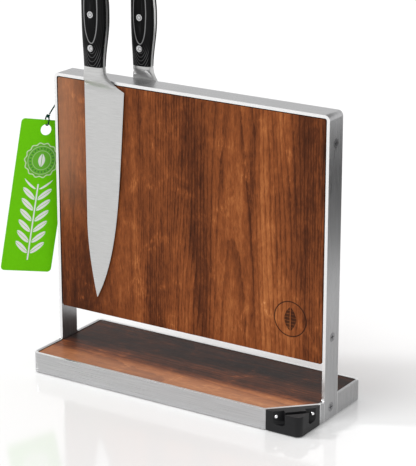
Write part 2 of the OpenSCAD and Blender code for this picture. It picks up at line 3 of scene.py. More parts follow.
import bmesh
import bpy
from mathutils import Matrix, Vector


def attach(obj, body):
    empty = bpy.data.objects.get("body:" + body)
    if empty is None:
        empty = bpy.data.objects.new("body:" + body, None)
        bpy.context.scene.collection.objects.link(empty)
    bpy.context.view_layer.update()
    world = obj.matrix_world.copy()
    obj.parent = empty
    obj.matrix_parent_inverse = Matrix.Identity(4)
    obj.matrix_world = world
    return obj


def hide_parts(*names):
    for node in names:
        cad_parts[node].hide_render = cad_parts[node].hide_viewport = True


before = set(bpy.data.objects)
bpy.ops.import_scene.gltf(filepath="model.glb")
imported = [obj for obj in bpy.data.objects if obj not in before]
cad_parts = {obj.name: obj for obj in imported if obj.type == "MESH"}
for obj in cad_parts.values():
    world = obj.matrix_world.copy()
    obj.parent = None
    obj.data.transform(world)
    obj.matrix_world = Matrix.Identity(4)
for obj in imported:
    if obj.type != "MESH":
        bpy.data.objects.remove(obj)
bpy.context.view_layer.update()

# ---------------------------------------------------------------- viewpoint
# The block is seen from its front right corner and a little from above,
# through a long lens, so that its uprights stay nearly parallel.
scene = bpy.context.scene
scene.view_settings.view_transform = "Standard"
lens_mm = 158.14
view_azimuth = math.radians(32.817)
view_elevation = math.radians(18.067)
view_distance = 1.93623
aim = Vector((0.016067, 0, 0.158571))
view_back = Vector((
    math.sin(view_azimuth) * math.cos(view_elevation),
    -math.cos(view_azimuth) * math.cos(view_elevation),
    math.sin(view_elevation),
))
camera_data = bpy.data.cameras.new("camera")
camera_data.sensor_width = 36
camera_data.lens = lens_mm
camera = bpy.data.objects.new("camera", camera_data)
camera.location = aim + view_back * view_distance
camera.rotation_euler = (-view_back).to_track_quat("-Z", "Y").to_euler()
scene.collection.objects.link(camera)
scene.camera = camera

# ------------------------------------------------------ string of the tag
# A limp dark green string of three twisted strands comes out of the slit beside
# the rear board, runs down to a knot, and ends in a loop through the tag's hole.
string_d = 0.0016
string_twist = 900.0
string_step = 0.0003
string_route = [
    (-0.1488, 0.0122, 0.2830), (-0.1489, 0.0134, 0.2830), (-0.1496, 0.0149, 0.2827),
    (-0.1509, 0.0159, 0.2820), (-0.1526, 0.0159, 0.2810), (-0.1541, 0.0150, 0.2797),
    (-0.1552, 0.0135, 0.2780), (-0.1562, 0.0116, 0.2752), (-0.1574, 0.0095, 0.2718),
    (-0.1587, 0.0075, 0.2684), (-0.1599, 0.0054, 0.2650), (-0.1612, 0.0033, 0.2616),
    (-0.1624, 0.0012, 0.2582), (-0.1637, -0.0008, 0.2548), (-0.1649, -0.0028, 0.2516),
    (-0.1656, -0.0040, 0.2496),
]
tag_hole = Vector((-0.1696, -0.005, 0.2336))
tag_turn = math.radians(56)
tag_lean = math.radians(10)
tag_across = Vector((
    math.cos(tag_turn) * math.cos(tag_lean),
    math.sin(tag_turn) * math.cos(tag_lean),
    -math.sin(tag_lean),
))
tag_up = Vector((
    math.cos(tag_turn) * math.sin(tag_lean),
    math.sin(tag_turn) * math.sin(tag_lean),
    math.cos(tag_lean),
))
tag_out = tag_across.cross(tag_up)


class Wire:
    """An output of a node in a finish. Arithmetic on wires adds Math nodes."""

    def __init__(self, socket):
        self.socket = socket

    def node(self, kind, settings=None, inputs=None, output=0):
        """Adds a node beside this wire's own, and gives the wire of one output."""
        tree = self.socket.id_data
        made = tree.nodes.new(kind)
        for name, value in (settings or {}).items():
            if name == "stops":
                ramp = made.color_ramp
                while len(ramp.elements) < len(value):
                    ramp.elements.new(0.5)
                for element, (place, shade) in zip(ramp.elements, value):
                    element.position = place
                    element.color = shade
            else:
                setattr(made, name, value)
        for key, value in (inputs or {}).items():
            if isinstance(value, Wire):
                tree.links.new(value.socket, made.inputs[key])
            else:
                made.inputs[key].default_value = value
        return Wire(made.outputs[output])

    def maths(self, operation, *others):
        """A Math node on this wire and the others."""
        inputs = {0: self}
        inputs.update({i + 1: other for i, other in enumerate(others)})
        return self.node("ShaderNodeMath", {"operation": operation}, inputs)

    def __add__(self, other):
        return self.maths("ADD", other)

    __radd__ = __add__

    def __mul__(self, other):
        return self.maths("MULTIPLY", other)

    __rmul__ = __mul__

    def __sub__(self, other):
        return self.maths("SUBTRACT", other)

    def __rsub__(self, other):
        return self.maths("MULTIPLY_ADD", -1.0, other)

    def __truediv__(self, other):
        return self.maths("DIVIDE", other)

    def __pow__(self, other):
        return self.maths("POWER", other)

    def __abs__(self):
        return self.maths("ABSOLUTE")

    def rise(self, low, high):
        """0 below low, 1 above high, and smooth between them."""
        return self.node(
            "ShaderNodeMapRange", {"interpolation_type": "SMOOTHSTEP"},
            {0: self, 1: low, 2: high},
        )

    def axes(self):
        """The three coordinates of a vector."""
        split = self.node("ShaderNodeSeparateXYZ", {}, {0: self})
        return [Wire(socket) for socket in split.socket.node.outputs]

    def stretched(self, scale, turn=(0, 0, 0), middle=(0, 0, 0)):
        """The same place measured from middle, turned, and times scale."""
        centred = self.node(
            "ShaderNodeMapping", {"vector_type": "TEXTURE"},
            {"Vector": self, "Location": middle, "Rotation": turn},
        )
        return centred.node(
            "ShaderNodeVectorMath", {"operation": "MULTIPLY"}, {0: centred, 1: scale}
        )

    def noise(self, scale, detail=3.0, roughness=0.5, distortion=0.0):
        """Soft noise between 0 and 1, with scale spots to a metre."""
        return self.node(
            "ShaderNodeTexNoise", {},
            {"Vector": self, "Scale": scale, "Detail": detail,
             "Roughness": roughness, "Distortion": distortion},
        )

    def blend(self, low, high):
        """The colour low where this wire is 0, and high where it is 1."""
        return self.node(
            "ShaderNodeMix", {"data_type": "RGBA"}, {0: self, 6: low, 7: high}, output=2
        )

    def ramp(self, stops):
        """The colour that the stops give to this wire's value."""
        return self.node("ShaderNodeValToRGB", {"stops": stops}, {0: self})


def begin_finish(name):
    """A new material, and the wire of the place on the piece in metres."""
    material = bpy.data.materials.new(name)
    material.use_nodes = True
    corner = material.node_tree.nodes.new("ShaderNodeTexCoord")
    return material, Wire(corner.outputs["Object"])


def end_finish(material, bump=None, bump_depth=0.0001, **looks):
    """Sets the surface's sockets, named with _ for the spaces, and its bump."""
    tree = material.node_tree
    surface = next(n for n in tree.nodes if n.type == "BSDF_PRINCIPLED")
    if bump is not None:
        looks["Normal"] = bump.node(
            "ShaderNodeBump", {}, {"Height": bump, "Distance": bump_depth}
        )
    for name, value in looks.items():
        socket = surface.inputs[name.replace("_", " ")]
        if isinstance(value, Wire):
            tree.links.new(value.socket, socket)
        else:
            socket.default_value = value
    return material


string_green, place = begin_finish("string_green")
fibre = place.noise(3000.0, detail=2.0)
end_finish(
    string_green,
    Base_Color=fibre.blend((0.001, 0.018, 0.012, 1), (0.006, 0.07, 0.046, 1)),
    Roughness=0.85, Specular_IOR_Level=0.1, bump=fibre, bump_depth=0.0002,
)


def new_tree(name, sizes):
    """A Geometry Nodes tree that takes a shape, a material and named sizes."""
    tree = bpy.data.node_groups.new(name, "GeometryNodeTree")
    sockets = tree.interface
    sockets.new_socket("Geometry", in_out="INPUT", socket_type="NodeSocketGeometry")
    sockets.new_socket("Material", in_out="INPUT", socket_type="NodeSocketMaterial")
    for size in sizes:
        sockets.new_socket(size, in_out="INPUT", socket_type="NodeSocketFloat")
    sockets.new_socket("Geometry", in_out="OUTPUT", socket_type="NodeSocketGeometry")
    return tree, tree.nodes.new("NodeGroupInput"), tree.nodes.new("NodeGroupOutput")


def tree_node(tree, kind, settings=None, inputs=None):
    """Adds a node to a Geometry Nodes tree; an input takes a socket or a value."""
    made = tree.nodes.new(kind)
    for name, value in (settings or {}).items():
        setattr(made, name, value)
    for key, value in (inputs or {}).items():
        if isinstance(value, bpy.types.NodeSocket):
            tree.links.new(value, made.inputs[key])
        else:
            made.inputs[key].default_value = value
    return made


def baked(name, source, tree, material, sizes):
    """Runs a tree on source once, and gives the result as a plain mesh object."""
    carrier = bpy.data.objects.new(name + "_source", source)
    scene.collection.objects.link(carrier)
    modifier = carrier.modifiers.new("tree", "NODES")
    modifier.node_group = tree
    values = dict(sizes, Material=material)
    for item in tree.interface.items_tree:
        if item.in_out == "INPUT" and item.name in values:
            modifier[item.identifier] = values[item.name]
    bpy.context.view_layer.update()
    ready = carrier.evaluated_get(bpy.context.evaluated_depsgraph_get())
    mesh = bpy.data.meshes.new_from_object(ready)
    bpy.data.objects.remove(carrier)
    piece = bpy.data.objects.new(name, mesh)
    scene.collection.objects.link(piece)
    mesh.name = name
    return piece


def line_of(name, points, cyclic):
    """A curve of one spline straight through the points."""
    curve = bpy.data.curves.new(name, "CURVE")
    curve.dimensions = "3D"
    spline = curve.splines.new("POLY")
    spline.points.add(len(points) - 1)
    for spot, point in zip(spline.points, points):
        spot.co = (*point, 1)
    spline.use_cyclic_u = cyclic
    return curve


laid, given, out = new_tree("laid_string", ["Step", "Diameter", "Twist"])
rounded = tree_node(
    laid, "GeometryNodeCurveSplineType", {"spline_type": "CATMULL_ROM"},
    {0: given.outputs["Geometry"]},
)
fine = tree_node(
    laid, "GeometryNodeResampleCurve", {"mode": "LENGTH"},
    {0: rounded.outputs[0], "Length": given.outputs["Step"]},
)
along = tree_node(laid, "GeometryNodeSplineParameter")
turns = tree_node(
    laid, "ShaderNodeMath", {"operation": "MULTIPLY"},
    {0: along.outputs["Length"], 1: given.outputs["Twist"]},
)
turned = tree_node(
    laid, "GeometryNodeSetCurveTilt", {},
    {"Curve": fine.outputs[0], "Tilt": turns.outputs[0]},
)
outer, inner = (
    tree_node(
        laid, "ShaderNodeMath", {"operation": "MULTIPLY"},
        {0: given.outputs["Diameter"], 1: share},
    )
    for share in (0.5, 0.34)
)
lobes = tree_node(
    laid, "GeometryNodeCurveStar", {},
    {"Points": 3, "Inner Radius": inner.outputs[0], "Outer Radius": outer.outputs[0]},
)
soft_lobes = tree_node(
    laid, "GeometryNodeCurveSplineType", {"spline_type": "CATMULL_ROM"},
    {0: lobes.outputs[0]},
)
lobe_points = tree_node(
    laid, "GeometryNodeResampleCurve", {"mode": "COUNT"},
    {0: soft_lobes.outputs[0], "Count": 12},
)
tube = tree_node(
    laid, "GeometryNodeCurveToMesh", {},
    {"Curve": turned.outputs[0], "Profile Curve": lobe_points.outputs[0],
     "Fill Caps": True},
)
smooth_tube = tree_node(
    laid, "GeometryNodeSetShadeSmooth", {},
    {"Geometry": tube.outputs[0], "Shade Smooth": True},
)
real = tree_node(laid, "GeometryNodeRealizeInstances", {}, {0: smooth_tube.outputs[0]})
coloured = tree_node(
    laid, "GeometryNodeSetMaterial", {},
    {"Geometry": real.outputs[0], "Material": given.outputs["Material"]},
)
laid.links.new(coloured.outputs[0], out.inputs[0])


def string_piece(name, points, cyclic, diameter=string_d):
    """A twisted string along the points."""
    return baked(
        name, line_of(name, points, cyclic), laid, string_green,
        {"Step": string_step, "Diameter": diameter, "Twist": string_twist},
    )


tag_string = string_piece("tag_string_piece", string_route, False)

loop_r = 0.005
loop_steps = 40
hole_r = 0.0055
loop_clearance = 0.0001
loop_middle = tag_hole + tag_up * (hole_r - string_d / 2 - loop_clearance + loop_r)
loop_points = []
for i in range(loop_steps):
    a = 2 * math.pi * i / loop_steps
    loop_points.append(
        loop_middle + tag_out * (loop_r * math.cos(a)) + tag_up * (loop_r * math.sin(a))
    )
tag_loop = string_piece("tag_loop_piece", loop_points, True)

knot_middle = Vector((-0.1662, -0.005, 0.248))
knot_size = 0.0005
knot_string_d = 0.0015
knot_steps = 60
knot_points = []
for i in range(knot_steps):
    a = 2 * math.pi * i / knot_steps
    knot_points.append(knot_middle + knot_size * (
        tag_across * (math.sin(a) + 2 * math.sin(2 * a))
        + tag_up * (math.cos(a) - 2 * math.cos(2 * a))
        - tag_out * (1.4 * math.sin(3 * a))
    ))
tag_knot = string_piece("tag_knot_piece", knot_points, True, knot_string_d)

for piece, node in (
    (tag_string, "tag_string"), (tag_loop, "tag_loop"), (tag_knot, "tag_knot"),
):
    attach(piece, "block")
    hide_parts(node)

# ------------------------------------------------------------ printed card
# Laminated card, printed bright green on both faces, with a pale round seal
# below its punched hole and a white sprig of leaves down its length.
tag_card, place = begin_finish("tag_card")
card = place.stretched((1000, 1000, 1000), (0, tag_lean, tag_turn), tuple(tag_hole))
across, depth, up = card.axes()
down = up * -1.0

# Sizes on the card are in millimetres, down from the hole's centre.
seal_down = 31.0
seal_r = 17.0
seal_inner_r = 14.2
seal_bead_r = 11.9
seal_core_r = 9.6
scallop_count = 14.0
bead_count = 22.0
seal_leaf_half_w = 3.6
seal_leaf_half_l_squared = 52.0
from_seal = down - seal_down
reach = (across * across + from_seal * from_seal) ** 0.5
bearing = from_seal.maths("ARCTAN2", across)
scallop = reach - (bearing * scallop_count).maths("COSINE") * 0.7
seal_fill = 1.0 - scallop.rise(seal_r - 0.3, seal_r + 0.3)
seal_line = 1.0 - abs(scallop - seal_r).rise(0.35, 0.8)
inner_line = 1.0 - abs(reach - seal_inner_r).rise(0.2, 0.5)
core_line = 1.0 - abs(reach - seal_core_r).rise(0.15, 0.45)
beads = (
    (1.0 - abs(reach - seal_bead_r).rise(0.5, 1.0))
    * (bearing * bead_count).maths("COSINE").rise(0.1, 0.5)
)
leaf_half = 1.0 - (from_seal * from_seal) / seal_leaf_half_l_squared
leaf_half = leaf_half.maths("MAXIMUM", 0.0) * seal_leaf_half_w
seal_leaf = (leaf_half - abs(across)).rise(-0.15, 0.35) * abs(across).rise(0.18, 0.45)

sprig_top = 55.0
sprig_end = 133.0
sprig_pitch = 11.0
sprig_leaf_rows = 7
sprig_leaf_out = 8.2
on_sprig = (
    down.rise(sprig_top, sprig_top + 0.6)
    * (1.0 - down.rise(sprig_end, sprig_end + 0.6))
)
stem = (1.0 - abs(across).rise(0.55, 0.95)) * on_sprig
step_down = down + abs(across) * 0.75 - sprig_top
leaf_at = (step_down / sprig_pitch).maths("FRACT") * sprig_pitch - sprig_pitch * 0.5
leaf_out = abs(across) - sprig_leaf_out
leaf_shape = 1.0 - ((leaf_out * leaf_out) / 46.0 + (leaf_at * leaf_at) / 11.5)
leaves = leaf_shape.rise(-0.05, 0.06) * abs(leaf_at).rise(0.12, 0.35)
last_leaf = sprig_pitch * sprig_leaf_rows
leafy = step_down.rise(6.0, 6.4) * (1.0 - step_down.rise(last_leaf, last_leaf + 0.4))
print_grain = card.noise(0.6, detail=2.0)
card_green = print_grain.blend((0.155, 0.66, 0.001, 1), (0.195, 0.74, 0.002, 1))
card_green = (seal_fill * 0.6).blend(card_green, (0.16, 0.42, 0.07, 1))
dark_green = (0.02, 0.16, 0.06, 1)
card_green = (beads * 0.75).blend(card_green, dark_green)
pale = (0.72, 0.86, 0.55, 1)
pale_lines = (seal_line + inner_line * 0.55 + core_line * 0.5).maths("MINIMUM", 1.0)
card_green = pale_lines.blend(card_green, pale)
white_print = (seal_leaf + stem + leaves * leafy).maths("MINIMUM", 1.0)
card_green = white_print.blend(card_green, (0.95, 0.96, 0.93, 1))
printed_face = abs(depth).rise(0.42, 0.47)
card_green = (1.0 - printed_face).blend(card_green, (0.7, 0.74, 0.66, 1))
end_finish(
    tag_card, Base_Color=card_green, Roughness=0.42 + print_grain * 0.08,
    Specular_IOR_Level=0.10,
    bump=white_print * 0.02 + print_grain * 0.2, bump_depth=0.0001,
)


def paint(node, material):
    """Gives a CAD node its finish."""
    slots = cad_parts[node].material_slots
    for slot in slots:
        slot.material = material


paint("hang_tag", tag_card)

# ------------------------------------------------------ steel arch and ring
# One band of 3 mm stainless sheet is bent into the arch, whose feet widen into
# the ring's side plates, and two more bands close the ring. All are satin
# brushed along their length, with their edges broken.
flat_face_area = 3.5e-5
steel_break = 0.0003
band_half_d = 0.0122
ring_top = 0.021


def crisp(mesh, angle, flat_above=math.inf):
    """Smooth shading that breaks at edges over the angle, and leaves faces with
    an area above flat_above truly flat."""
    mesh.set_sharp_from_angle(angle=math.radians(angle))
    mesh.polygons.foreach_set("use_smooth", [f.area < flat_above for f in mesh.polygons])


def softened(name, node, width, material, segments=2):
    """A copy of a CAD node with its outer edges broken, which stands for the node."""
    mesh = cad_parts[node].data.copy()
    mesh.name = name
    mesh.materials.clear()
    mesh.materials.append(material)
    work = bmesh.new()
    work.from_mesh(mesh)
    bmesh.ops.remove_doubles(work, verts=work.verts, dist=2e-6)
    bmesh.ops.dissolve_limit(
        work, angle_limit=math.radians(1.0), verts=work.verts, edges=work.edges
    )
    work.to_mesh(mesh)
    work.free()
    for layer in list(mesh.attributes):
        if layer.name == "custom_normal":
            mesh.attributes.remove(layer)
    piece = bpy.data.objects.new(name, mesh)
    scene.collection.objects.link(piece)
    bevel = piece.modifiers.new("broken_edges", "BEVEL")
    bevel.width = width
    bevel.segments = segments
    bevel.limit_method = "ANGLE"
    bevel.angle_limit = math.radians(50)
    bevel.use_clamp_overlap = True
    bevel.harden_normals = False
    bpy.context.view_layer.update()
    ready = piece.evaluated_get(bpy.context.evaluated_depsgraph_get())
    piece.data = bpy.data.meshes.new_from_object(ready)
    piece.modifiers.clear()
    crisp(piece.data, 32, flat_face_area)
    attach(piece, "block")
    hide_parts(node)
    return piece


def steel_finish(name, stretch, tint, edge):
    """Satin steel with fine scratches, packed close along the axis where stretch is
    large; along the sheet's sheared edges, where edge is 1, a painted highlight is
    brighter."""
    material, place = begin_finish(name)
    scratches = place.stretched(stretch).noise(1.0, detail=4.0, roughness=0.7)
    cloud = place.noise(14.0, detail=2.0)
    fine_marks = scratches.rise(0.3, 0.7)
    bright = tuple(c * 1.12 for c in tint) + (1,)
    dull = tuple(c * 0.86 for c in tint) + (1,)
    # The edge mask carries a painted highlight: a bright steel colour along the edges.
    ground = edge(*place.axes())
    colour = ground.blend(fine_marks.blend(dull, bright), (0.84, 0.84, 0.84, 1))
    return end_finish(
        material, Base_Color=colour, Metallic=1.0,
        Roughness=0.26 + fine_marks * 0.08 + (cloud - 0.5) * 0.10,
        bump=scratches, bump_depth=0.00002,
    )


def arch_edge_highlight(x, y, z):
    """Painted highlight on the arch's front and rear edges, but not on the deeper
    plates of the base.
    """
    near = abs(y).rise(band_half_d - 0.0003, band_half_d - 0.0001)
    return near * (1.0 - abs(y).rise(band_half_d + 0.0002, band_half_d + 0.0004))


def ring_edge_highlight(x, y, z):
    """Painted highlight on the ring's upper edge."""
    return z.rise(ring_top - 0.0003, ring_top - 0.0001)


arch_steel = steel_finish("arch_steel", (25, 2600, 25), (0.44, 0.44, 0.445), arch_edge_highlight)
ring_steel = steel_finish("ring_steel", (20, 20, 2400), (0.49, 0.49, 0.495), ring_edge_highlight)
softened("arch", "upright_frame", steel_break, arch_steel)
softened("ring_front", "base_front_band", steel_break, ring_steel)
softened("ring_back", "base_back_band", steel_break, ring_steel)

# ------------------------------------------------------------ wooden boards
# Dark hardwood planks with a clear satin lacquer: upright grain on the two faces
# of the board, which are glued to a laminated core, and long grain on the base.
wood_break = 0.0005
mark_x = 0.1145
mark_z = 0.0955
mark_ring_mm = 17.0


def wood_finish(name, along, tone_and_shade, painted_sheen, heart_at, ring_count, seed, roughness, mark=None):
    """Figured hardwood. along is the grain's axis; the third argument gives the plank's
    tone by place, with any painted shade, and the fourth says where a painted sheen
    pales it. The growth rings arch about the line heart_at, ring_count of them to a
    metre."""
    material, place = begin_finish(name)
    stretch = [1.0, 1.0, 1.0]
    stretch[along] = 0.10
    plank = place.stretched(tuple(stretch), middle=seed)
    drift = plank.noise(9.0, detail=2.0)
    figure = plank.noise(30.0, detail=3.0, roughness=0.6, distortion=0.8)
    streak = plank.noise(210.0, detail=5.0, roughness=0.65)
    pores = plank.noise(1400.0, detail=2.0, roughness=0.6).rise(0.56, 0.70)
    glow = place.noise(30.0, detail=3.0, roughness=0.6, distortion=1.2)
    fleck = place.stretched(tuple(1.0 if s == 1.0 else 0.22 for s in stretch))
    fleck = fleck.noise(480.0, detail=3.0, roughness=0.75)
    sides = place.axes()
    length = sides[along]
    width = (sides[1] if along == 0 else sides[0]) + (drift - 0.5) * 0.05
    width = width - heart_at + (figure - 0.5) * 0.012
    growth = (width * width * 420.0 + length) * ring_count + (glow - 0.5) * 0.5
    ring = growth.maths("FRACT")
    late_wood = ring.rise(0.55, 0.97) * (1.0 - ring.rise(0.97, 1.0))
    vein = plank.noise(60.0, detail=2.0, roughness=0.5, distortion=0.4).rise(0.60, 0.70)
    shimmer = glow.rise(0.56, 0.72) * fleck.rise(0.42, 0.62)
    # Tone by place, with painted shade such as the board's shadow on the base.
    tone = (
        tone_and_shade(place) + (drift - 0.5) * 0.75 + (figure - 0.5) * 0.65
        + (streak - 0.5) * 0.42 + (fleck - 0.5) * 0.42 + (glow - 0.5) * 0.3
        - late_wood * 0.14 - vein * 0.12 + shimmer * 0.15
    )
    colour = tone.ramp([
        (0.05, (0.022, 0.007, 0.003, 1)),
        (0.30, (0.095, 0.026, 0.009, 1)),
        (0.52, (0.235, 0.066, 0.019, 1)),
        (0.76, (0.44, 0.150, 0.046, 1)),
        (1.0, (0.70, 0.31, 0.12, 1)),
    ])
    colour = (pores * 0.42).blend(colour, (0.035, 0.012, 0.006, 1))
    # Painted sheen: a pale milky colour stands in for light shining off the lacquer.
    colour = (painted_sheen(place) * 0.42).blend(colour, (0.47, 0.255, 0.16, 1))
    height = streak * 0.5 - pores * 0.6
    if mark is not None:
        burnt = mark(place)
        colour = (burnt * 0.85).blend(colour, (0.020, 0.008, 0.005, 1))
        height = height - burnt * 3.0
    return end_finish(
        material, Base_Color=colour, Roughness=roughness + (streak - 0.5) * 0.12,
        Specular_IOR_Level=0.06, bump=height, bump_depth=0.00006,
    )


def board_tone(place):
    """The face boards are darkest at the foot of their left edge."""
    x, _, z = place.axes()
    left = 1.0 - x.rise(-0.16, 0.02)
    low = 1.0 - z.rise(0.05, 0.24)
    right_foot = x.rise(0.0, 0.12) * (1.0 - z.rise(0.06, 0.2))
    return 0.47 - left * low * 0.19 + right_foot * 0.09 - z.rise(0.15, 0.30) * 0.03


def board_painted_sheen(place):
    """Painted sheen: the boards are paled near the top of their left edge, as if light
    shone off their lacquer there.
    """
    x, _, z = place.axes()
    return (1.0 - x.rise(-0.15, -0.095)) * z.rise(0.13, 0.22)


def base_painted_sheen(place):
    """Painted sheen: the base is paled in front of the board, less at its left end, as
    if light shone off its lacquer.
    """
    x, y, _ = place.axes()
    return (1.0 - y.rise(-0.045, -0.018)) * (0.6 + x.rise(-0.13, -0.04) * 0.4)


def base_tone_and_shadow(place):
    """Painted shadow of the board: the base board is darker in a band under and behind
    the board.
    """
    y = place.axes()[1]
    wander = (place.stretched((4.0, 30.0, 1.0)).noise(1.0, detail=2.0) - 0.5) * 0.02
    # dark marks the painted shadow of the board.
    dark = (y + wander).rise(-0.034, -0.004) * (1.0 - y.rise(0.035, 0.06) * 0.25)
    return 0.60 - dark * 0.50


def burnt_mark(place):
    """A small ring with a leaf, burnt into the lower right of the front face."""
    x, y, z = place.axes()
    u = (x - mark_x) * 1000.0
    v = (z - mark_z) * 1000.0
    reach = (u * u + v * v) ** 0.5
    ring = 1.0 - abs(reach - mark_ring_mm).rise(0.35, 0.8)
    half = (1.0 - (v * v) / 150.0).maths("MAXIMUM", 0.0) * 6.4
    leaf = (half - abs(u)).rise(-0.2, 0.3) * abs(u).rise(0.3, 0.6)
    side = abs(v - abs(u) * 0.9)
    vein = (v * 0.30).maths("FRACT") - 0.5
    leaf = leaf * (1.0 - (1.0 - abs(vein).rise(0.06, 0.16)) * 0.45 * side.rise(0.0, 0.1))
    front = 1.0 - y.rise(-0.0115, -0.0112)
    return (ring + leaf).maths("MINIMUM", 1.0) * front


board_wood = wood_finish(
    "board_wood", 2, board_tone, board_painted_sheen, 0.055, 6.0, (0.31, 0.07, 0.02), 0.42,
    burnt_mark,
)
rear_wood = wood_finish(
    "rear_wood", 2, board_tone, board_painted_sheen, -0.03, 6.0, (0.93, 0.40, 0.31), 0.42
)
base_wood = wood_finish(
    "base_wood", 0, base_tone_and_shadow, base_painted_sheen, -0.04, 5.0, (0.11, 0.77, 0.52), 0.34
)
softened("front_board_face", "front_board", wood_break, board_wood)
softened("rear_board_face", "rear_board", wood_break, rear_wood)
softened("base_plank", "base_board", wood_break, base_wood)

core_wood, place = begin_finish("core_wood")
layers = (place.axes()[1] * 400.0).maths("FRACT").rise(0.42, 0.58)
fibres = place.stretched((60, 60, 6)).noise(8.0, detail=4.0)
core_tone = layers * 0.5 + fibres * 0.5
end_finish(
    core_wood, Base_Color=core_tone.blend((0.22, 0.11, 0.05, 1), (0.42, 0.26, 0.14, 1)),
    Roughness=0.6, bump=fibres, bump_depth=0.0001,
)
paint("board_core", core_wood)

# --------------------------------------------------------- magnets and feet
# Nickel plated round magnets sit in pockets behind the face boards. Four soft
# rubber discs are pressed into the underside of the base board.
magnet_nickel, place = begin_finish("magnet_nickel")
plating = place.noise(260.0, detail=3.0)
end_finish(
    magnet_nickel, Base_Color=plating.blend((0.58, 0.56, 0.52, 1), (0.74, 0.72, 0.68, 1)),
    Metallic=1.0, Roughness=0.18 + plating * 0.2,
)
paint("front_magnets", magnet_nickel)
paint("rear_magnets", magnet_nickel)

foot_rubber, place = begin_finish("foot_rubber")
grain = place.noise(900.0, detail=3.0)
end_finish(
    foot_rubber, Base_Color=grain.blend((0.012, 0.012, 0.012, 1), (0.04, 0.04, 0.04, 1)),
    Roughness=0.75 + grain * 0.15, bump=grain, bump_depth=0.0001,
)
paint("rubber_feet", foot_rubber)

# ------------------------------------------------------------------- screws
# Countersunk cross-recess screws hold the boards in the arch and the base board
# in the ring; their heads are turned bright steel.
screw_steel, place = begin_finish("screw_steel")
lathe_marks = place.noise(1800.0, detail=2.0)
end_finish(
    screw_steel,
    Base_Color=lathe_marks.blend((0.16, 0.16, 0.165, 1), (0.40, 0.40, 0.41, 1)),
    Metallic=1.0, Roughness=0.2 + lathe_marks * 0.12,
    bump=lathe_marks, bump_depth=0.00003,
)
paint("board_screws", screw_steel)
paint("base_screws", screw_steel)

# ---------------------------------------------------------------- sharpener
# Black moulded plastic block in the cut corner of the ring, with a slot and two
# notches for the blade, crossed carbide and ceramic inserts, and two dome screws.
black_plastic, place = begin_finish("black_plastic")
spark = place.noise(1400.0, detail=2.0)
cast = place.noise(60.0, detail=2.0)
end_finish(
    black_plastic,
    Base_Color=cast.blend((0.005, 0.005, 0.006, 1), (0.012, 0.012, 0.013, 1)),
    Specular_IOR_Level=0.24, Roughness=0.34 + spark * 0.16,
    bump=spark, bump_depth=0.00006,
)
moulded_edge = 0.0005
softened(
    "sharpener_block", "sharpener_body", moulded_edge, black_plastic, 3
)
paint("sharpener_floor", black_plastic)

carbide, place = begin_finish("carbide")
ground = place.stretched((1, 1, 20)).noise(260.0, detail=3.0)
end_finish(
    carbide, Base_Color=ground.blend((0.24, 0.24, 0.26, 1), (0.42, 0.42, 0.45, 1)),
    Metallic=1.0, Roughness=0.25 + ground * 0.15,
)
paint("carbide_blades", carbide)

ceramic, place = begin_finish("ceramic")
speck = place.noise(700.0, detail=2.0)
end_finish(
    ceramic, Base_Color=speck.blend((0.80, 0.78, 0.74, 1), (0.90, 0.89, 0.86, 1)),
    Roughness=0.3 + speck * 0.2,
)
paint("ceramic_rods", ceramic)

dome_chrome, place = begin_finish("dome_chrome")
polish = place.noise(500.0, detail=2.0)
end_finish(
    dome_chrome, Base_Color=polish.blend((0.86, 0.86, 0.87, 1), (0.93, 0.93, 0.94, 1)),
    Metallic=1.0, Roughness=0.06 + polish * 0.08,
)
paint("sharpener_screws", dome_chrome)

# ------------------------------------------------------------------- knives
# Forged stainless knives. Blade, bolster and full tang are one forging, ground
# thin to the edge; two black laminated scales are held on by three rivets. The
# chef's knife is on the front of the board and the carving knife on the back.
arch_top = 0.295
heel_drop = 0.009
heel_z = arch_top - heel_drop
blade_t = 0.0026
tang_t = 0.0028
bolster_l = 0.022
handle_l = 0.109
handle_z = heel_z + bolster_l
neck_h = 0.0211
grip_h = 0.0267
neck_t = 0.0127
grip_t = 0.0174
neck_step = 0.0012
waist_dip = 0.0014
butt_flare = 0.0026
butt_round = 0.007
butt_start = 0.93
handle_steps = 60
roundness = 2.8
edge_half_t = 0.00015
edge_bevel_at = 0.965
face_gap = 0.0002
rivet_d = 0.0063
rivet_start = 0.0185
rivet_pitch = 0.0325
rivet_proud = 0.0005
knives = {
    "chef": dict(spine_x=-0.1143, blade_l=0.211, heel_h=0.045, tip_drop=0.0102,
                 ratio=1.0, side=-1, rivet_x=0.0134),
    "carving": dict(spine_x=-0.0769, blade_l=0.203, heel_h=0.034, tip_drop=0.010,
                    ratio=0.93, side=1, rivet_x=0.0125),
}
blade_plane = band_half_d + face_gap + blade_t / 2


def smooth(t):
    """Rises softly from 0 to 1 as t does."""
    t = min(1.0, max(0.0, t))
    return t * t * (3 - 2 * t)


def signed_power(v, p):
    return math.copysign(abs(v) ** p, v)


def edge_at(knife, r):
    """How far the cutting edge is from the spine's line, at the share r of the way
    from heel to tip."""
    drop = (knife["heel_h"] - knife["tip_drop"]) * (0.42 * r + 0.58 * r ** 4.8)
    return knife["heel_h"] - drop


def spine_at(knife, r):
    """How far the spine has curved from its line at the share r."""
    return knife["tip_drop"] * max(0.0, (r - 0.64) / 0.36) ** 1.7


def butt_in(q):
    """How far the rounded butt draws in, at the share q of the handle."""
    if q <= butt_start:
        return 0.0
    t = (q - butt_start) / (1 - butt_start)
    return butt_round * (1 - math.sqrt(max(0.0, 1 - t * t)))


def handle_h_at(q):
    """Height of a handle: it swells to the grip, narrows, and flares at the butt."""
    swell = smooth(q / 0.42)
    flare = smooth((q - 0.75) / 0.2)
    waist = smooth((q - 0.5) / 0.2) * (1 - flare)
    return neck_h + (grip_h - neck_h) * swell - waist_dip * waist + butt_flare * flare


